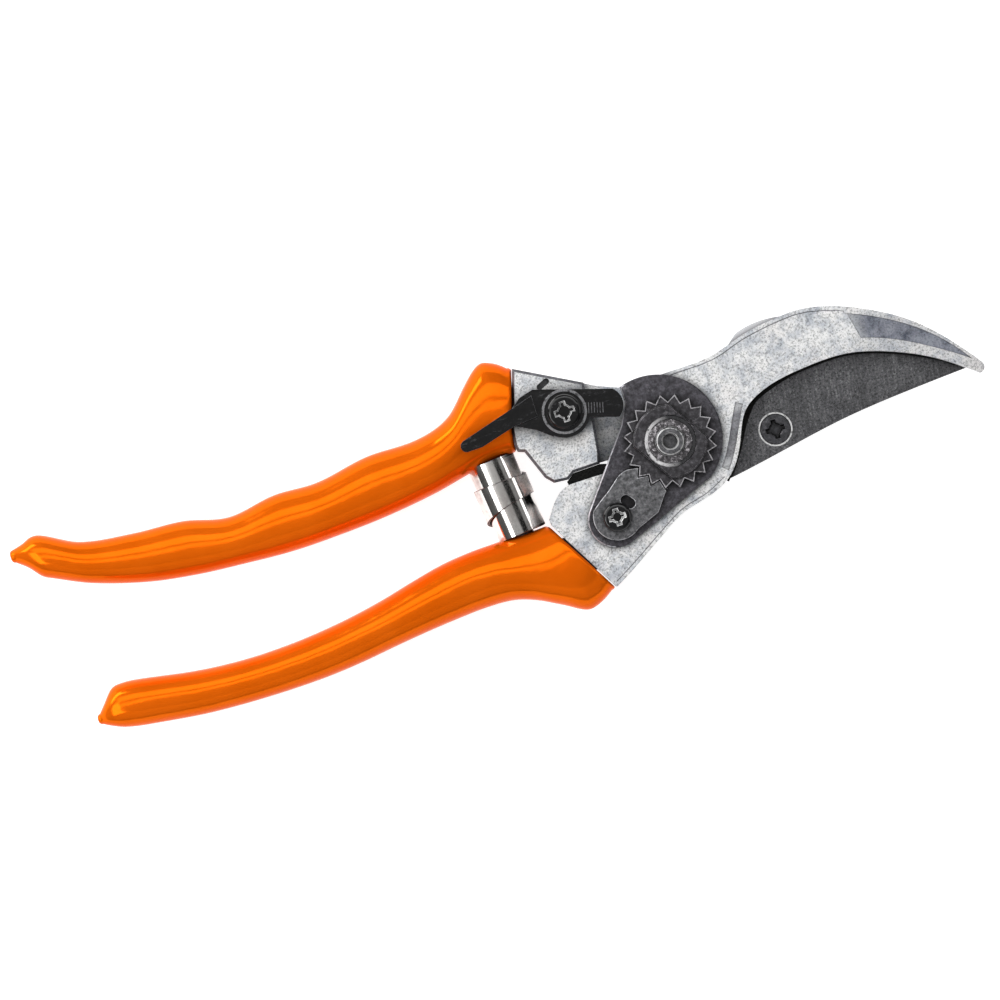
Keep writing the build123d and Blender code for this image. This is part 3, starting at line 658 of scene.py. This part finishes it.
def film(name, body, rows, height, tuck, lift, look):
    """A strip along rows, reaching back by tuck and standing lift above height, in mm."""
    table = [(i, *row) for i, row in enumerate(rows)]
    places = [k / FILM_STEPS for k in range(FILM_STEPS * (len(rows) - 1) + 1)]
    points = []
    for t in places:
        x, y, width = along(table, t)
        x1, y1, _ = along(table, max(t - 0.05, 0.0))
        x2, y2, _ = along(table, min(t + 0.05, len(rows) - 1.0))
        way = Vector((x2 - x1, y2 - y1, 0)).normalized()
        side = Vector((way.y, -way.x, 0))
        for reach, up in ((-tuck, 0), (width, 0), (width, lift), (-tuck, lift)):
            points.append((Vector((x, y, height + up)) + side * reach) * MM)
    faces = [*bridge(len(places), 4), (3, 2, 1, 0), tuple(range(len(points) - 4, len(points)))]
    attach(piece_from(name, points, faces, [look], 30.0), body)


# Black film beside the hook's inner edge, widest at the neck: the hook's painted shadow on the blade.
film("hook_shadow_line", "blade_handle", HOOK_SHADOW, BLADE_FRONT, HOOK_SHADOW_TUCK, FILM_T, HOOK_SHADOW_LOOK)
# Dark lines along the hook's back and neck: painted shade beside its edges.
film("back_line", "hook_handle", BACK_LINE, HOOK_FRONT, 0.0, LINE_T, ALLOY_PAINTED_SHADE)
film("neck_line", "hook_handle", NECK_LINE, HOOK_FRONT, 0.0, LINE_T, ALLOY_PAINTED_SHADE)

for node_name, look in (
    ("head_washer", STEEL),
    ("catch_washer", BRIGHT),
    ("pivot_bushing", BRIGHT),
    ("upper_spring_peg", ALLOY),
    ("lower_spring_peg", ALLOY),
):
    frame["nodes"][node_name].material_slots[0].material = look


# Dipped grips: smooth skins over their cores, with a rolled lip where the metal comes out.
# Each row is x, lowest y, highest y and thickness, from the tail to the head.
UPPER_SECTIONS = [
    (-145.0, 16.4, 19.3, 6.5),
    (-142.5, 14.4, 20.0, 10.5),
    (-140.3, 11.9, 20.9, 12.5),
    (-138.0, 10.7, 20.6, 13.5),
    (-130.0, 7.2, 16.7, 14.5),
    (-118.0, 3.9, 15.1, 15.0),
    (-107.0, 2.3, 14.5, 15.3),
    (-97.0, 1.6, 12.4, 15.8),
    (-86.0, 1.1, 14.1, 16.5),
    (-76.0, 1.4, 14.0, 17.2),
    (-64.0, 2.3, 16.2, 17.7),
    (-52.0, 4.0, 16.6, 18.0),
    (-44.0, 5.8, 19.3, 18.0),
    (-37.5, 7.3, 25.8, 18.0),
    (-33.5, 7.6, 28.4, 18.0),
    (-30.6, 7.4, 27.7, 18.0),
    (-28.3, 7.0, 25.8, 17.8),
    (-25.0, 6.4, 20.6, 17.4),
]
LOWER_SECTIONS = [
    (-137.1, -22.9, -20.5, 6.5),
    (-135.6, -23.7, -18.7, 10.0),
    (-133.0, -24.8, -15.9, 12.5),
    (-130.0, -25.5, -15.4, 13.8),
    (-126.5, -26.0, -15.7, 14.5),
    (-115.0, -27.3, -17.5, 15.0),
    (-107.5, -27.7, -18.2, 15.2),
    (-100.0, -27.8, -18.4, 15.5),
    (-92.5, -27.7, -18.1, 16.0),
    (-85.0, -27.3, -17.4, 16.5),
    (-77.5, -26.5, -16.3, 17.0),
    (-70.0, -25.4, -14.8, 17.5),
    (-62.5, -24.4, -12.9, 17.8),
    (-55.0, -23.6, -11.2, 18.0),
    (-48.5, -23.1, -10.4, 18.0),
    (-42.0, -23.3, -10.1, 18.0),
    (-37.0, -24.8, -10.0, 18.0),
    (-32.0, -27.3, -9.9, 18.0),
    (-25.8, -30.0, -9.4, 18.0),
    (-22.3, -29.2, -9.4, 18.0),
    (-19.8, -26.8, -9.4, 17.8),
    (-16.5, -21.5, -9.4, 17.4),
]
# Where the metal leaves each grip, as (x, y), from one side of it to the other.
UPPER_EDGE = [(-32.3, 7.5), (-32.6, 9.0), (-32.2, 12.8), (-30.3, 18.6), (-28.3, 25.2)]
LOWER_EDGE = [(-20.3, -27.0), (-22.0, -24.0), (-27.5, -14.5), (-30.0, -10.0), (-30.1, -8.7)]
RING_POINTS = 80
STATIONS = 170
SECTION_POWER = 2.5
PULL_FROM = 0.75
LIP = 0.9
TAIL_ROUND = 0.7
ROLL_STEPS = 6


def edge_x(boundary, y):
    """Where the metal leaves the grip at height y."""
    for (x1, y1), (x2, y2) in zip(boundary, boundary[1:]):
        if y <= y2:
            break
    return x1 + (x2 - x1) * min(max((y - y1) / (y2 - y1), 0.0), 1.0)


def grip_ring(table, boundary, share, shrink, ahead):
    """One section of a grip, which leans more and more until it lies along the boundary."""
    tail = table[0][0]
    low_x = tail + (boundary[0][0] - tail) * share
    high_x = tail + (boundary[-1][0] - tail) * share
    low = Vector((low_x, along(table, low_x)[0]))
    high = Vector((high_x, along(table, high_x)[1]))
    middle = (low + high) / 2
    reach = (high - low) / 2
    reach *= max(1.0 - shrink / reach.length, 0.1)
    pull = min(max((share - PULL_FROM) / (1 - PULL_FROM), 0.0), 1.0) ** 2
    slope = (boundary[-1][0] - boundary[0][0]) / (boundary[-1][1] - boundary[0][1])
    ring = []
    for i in range(RING_POINTS):
        turn = 2 * math.pi * i / RING_POINTS
        c, s = math.cos(turn), math.sin(turn)
        across = math.copysign(abs(c) ** (2 / SECTION_POWER), c)
        up = math.copysign(abs(s) ** (2 / SECTION_POWER), s)
        spot = middle + reach * across
        thick = along(table, spot.x)[2]
        straight = boundary[0][0] + slope * (spot.y - boundary[0][1])
        x = spot.x + pull * (edge_x(boundary, spot.y) - straight) + ahead
        ring.append(Vector((x, spot.y, GRIP_MID + up * (thick / 2 - shrink))) * MM)
    return ring


def grip(name, node_name, body, table, boundary):
    """The skin of one grip, closed at the tail and inside the lip."""
    rings = []
    for k in range(ROLL_STEPS):
        a = math.pi / 2 * (1 - k / ROLL_STEPS)
        inset = TAIL_ROUND * (1 - math.cos(a))
        rings.append(grip_ring(table, boundary, 0.0, inset, TAIL_ROUND * (1 - math.sin(a))))
    for k in range(STATIONS + 1):
        share = k / STATIONS
        rings.append(grip_ring(table, boundary, share, 0.0, TAIL_ROUND * (1 - share) - LIP * share))
    for k in range(1, ROLL_STEPS + 1):
        a = math.pi / 2 * k / ROLL_STEPS
        rings.append(grip_ring(table, boundary, 1.0, LIP * (1 - math.cos(a)), LIP * (math.sin(a) - 1)))
    points = [p for ring in rings for p in ring]
    faces = bridge(len(rings), RING_POINTS)
    faces.append(tuple(reversed(range(RING_POINTS))))
    faces.append(tuple(range(len(points) - RING_POINTS, len(points))))
    piece = piece_from(name, points, faces, [GRIP], 60.0)
    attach(piece, body)
    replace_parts(piece, node_name)


grip("upper_grip_skin", "upper_grip", "blade_handle", UPPER_SECTIONS, UPPER_EDGE)
grip("lower_grip_skin", "lower_grip", "hook_handle", LOWER_SECTIONS, LOWER_EDGE)


# Volute spring: one long strip wound into three overlapping coils.
SPRING_MIDDLE = Vector((-37.6, -1.4, GRIP_MID))
SPRING_LEAN = math.radians(6.5)
STRIP_T = 0.7
STRIP_SOFT = 0.12
TURN_STEPS = 72
# Quarter turns from the back of the lowest coil: radius, lower edge and upper edge of the strip.
STRIP = [
    (-2, 5.2, -8.5, -2.5),
    (-1, 5.3, -8.5, -2.0),
    (0, 5.45, -8.5, -1.5),
    (1, 5.6, -8.5, -0.5),
    (2, 5.9, -6.6, 2.5),
    (3, 6.2, -3.9, 3.9),
    (4, 6.25, -1.7, 3.8),
    (5, 6.2, -1.0, 3.5),
    (6, 5.8, 0.0, 6.0),
    (7, 5.4, 0.5, 8.9),
    (8, 5.35, 0.5, 8.9),
    (9, 5.3, 0.5, 8.9),
    (10, 5.2, 1.0, 8.9),
]


def spring():
    """The wound strip, with its edges a little rounded and painted dark as shade along them."""
    right = Vector((math.cos(SPRING_LEAN), math.sin(SPRING_LEAN), 0))
    up = Vector((-math.sin(SPRING_LEAN), math.cos(SPRING_LEAN), 0))
    out = Vector((0, 0, 1))
    soft = STRIP_SOFT
    points = []
    first, last = STRIP[0][0], STRIP[-1][0]
    count = int((last - first) * TURN_STEPS / 4)
    for k in range(count + 1):
        quarter = first + (last - first) * k / count
        radius, low, high = along(STRIP, quarter)
        turn = math.pi / 2 * quarter
        way = right * math.sin(turn) + out * math.cos(turn)
        outer, inner = radius, radius - STRIP_T
        for r, s in (
            (outer, low + soft), (outer, high - soft), (outer - soft, high), (inner + soft, high),
            (inner, high - soft), (inner, low + soft), (inner + soft, low), (outer - soft, low),
        ):
            points.append((SPRING_MIDDLE + way * r + up * s) * MM)
    faces = bridge(count + 1, 8)
    faces.append(tuple(reversed(range(8))))
    faces.append(tuple(range(8 * count, 8 * count + 8)))
    piece = piece_from("spring_strip", points, faces, [CHROME, STEEL], 30.0)
    # Only the strip's outer and inner faces are polished; its edges and ends take dark steel as painted
    # shade.
    for k, face in enumerate(piece.data.polygons):
        face.material_index = 0 if k % 8 in (0, 4) and k < 8 * count else 1
    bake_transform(piece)
    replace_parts(piece, "volute_spring")


spring()


# Floor, world and lights.
FLOOR_SIZE = 3.0


def floor():
    """Plain pale board under the tool."""
    made, tree, surface = material(
        "pale_board", Roughness=0.7, Specular_IOR_Level=0.2, Emission_Color=(1, 1, 1, 1),
        Emission_Strength=0.85,
    )
    tone = clouds(tree, 6.0, 2.0)
    join(tree, surface, Base_Color=ramp(tree, tone, (0.3, 0.5), (0.7, 0.53)))
    half, z = FLOOR_SIZE / 2, cad_low.z - 0.0002
    mesh = bpy.data.meshes.new("floor")
    corners = [(-half, -half, z), (half, -half, z), (half, half, z), (-half, half, z)]
    mesh.from_pydata(corners, [], [(0, 1, 2, 3)])
    mesh.materials.append(made)
    board = bpy.data.objects.new("floor", mesh)
    scene.collection.objects.link(board)


def light(name, place, size, power, aim=(-0.03, 0.0, 0.0)):
    """A soft panel of size (along X, across) that faces aim and stays out of the picture."""
    data = bpy.data.lights.new(name, "AREA")
    data.shape = "RECTANGLE"
    data.size, data.size_y = size
    data.energy = power
    panel = bpy.data.objects.new(name, data)
    panel.location = place
    toward = Vector(aim) - Vector(place)
    panel.rotation_euler = toward.to_track_quat("-Z", "Y").to_euler()
    panel.visible_camera = False
    scene.collection.objects.link(panel)


def world():
    """A grey studio: brighter overhead, dim at the horizon, with a black screen on the right."""
    made = bpy.data.worlds.new("studio")
    made.use_nodes = True
    tree = made.node_tree
    way = node(tree, "SeparateXYZ", {"Vector": node(tree, "TexCoord").outputs["Generated"]}).outputs
    shade = ramp(tree, way["Z"], (0.0, 0.06), (0.45, 0.12), (0.85, 0.3), (1.0, 0.35))
    sideways = spread(tree, way["X"], -1.0, 1.0)
    screen = ramp(tree, sideways, (0.1, 1.0), (0.53, 1.0), (0.6, 0.03), (0.74, 0.03), (0.8, 1.0))
    studio = mix(tree, 1.0, shade, screen, "MULTIPLY")
    seen = node(tree, "LightPath").outputs["Is Camera Ray"]
    tree.links.new(mix(tree, seen, studio, (0.95, 0.95, 0.95, 1.0)), tree.nodes["Background"].inputs["Color"])
    tree.nodes["Background"].inputs["Strength"].default_value = 1.0
    scene.world = made


floor()
world()
light("softbox_high", (-0.05, 0.52, 0.90), (1.6, 0.50), 5.6)
light("fill_below", (-0.05, -0.85, 0.55), (1.6, 0.8), 1.6)
light("softbox_low", (-0.05, 0.115, 1.05), (1.6, 0.13), 1.5)
light("key_upper_left", (-0.75, 0.85, 0.32), (0.9, 0.4), 8.0)
light("left_strip", (-0.75, -0.10, 0.75), (0.70, 0.32), 3.2)
light("right_strip", (0.80, -0.02, 0.55), (0.6, 0.2), 1.0)
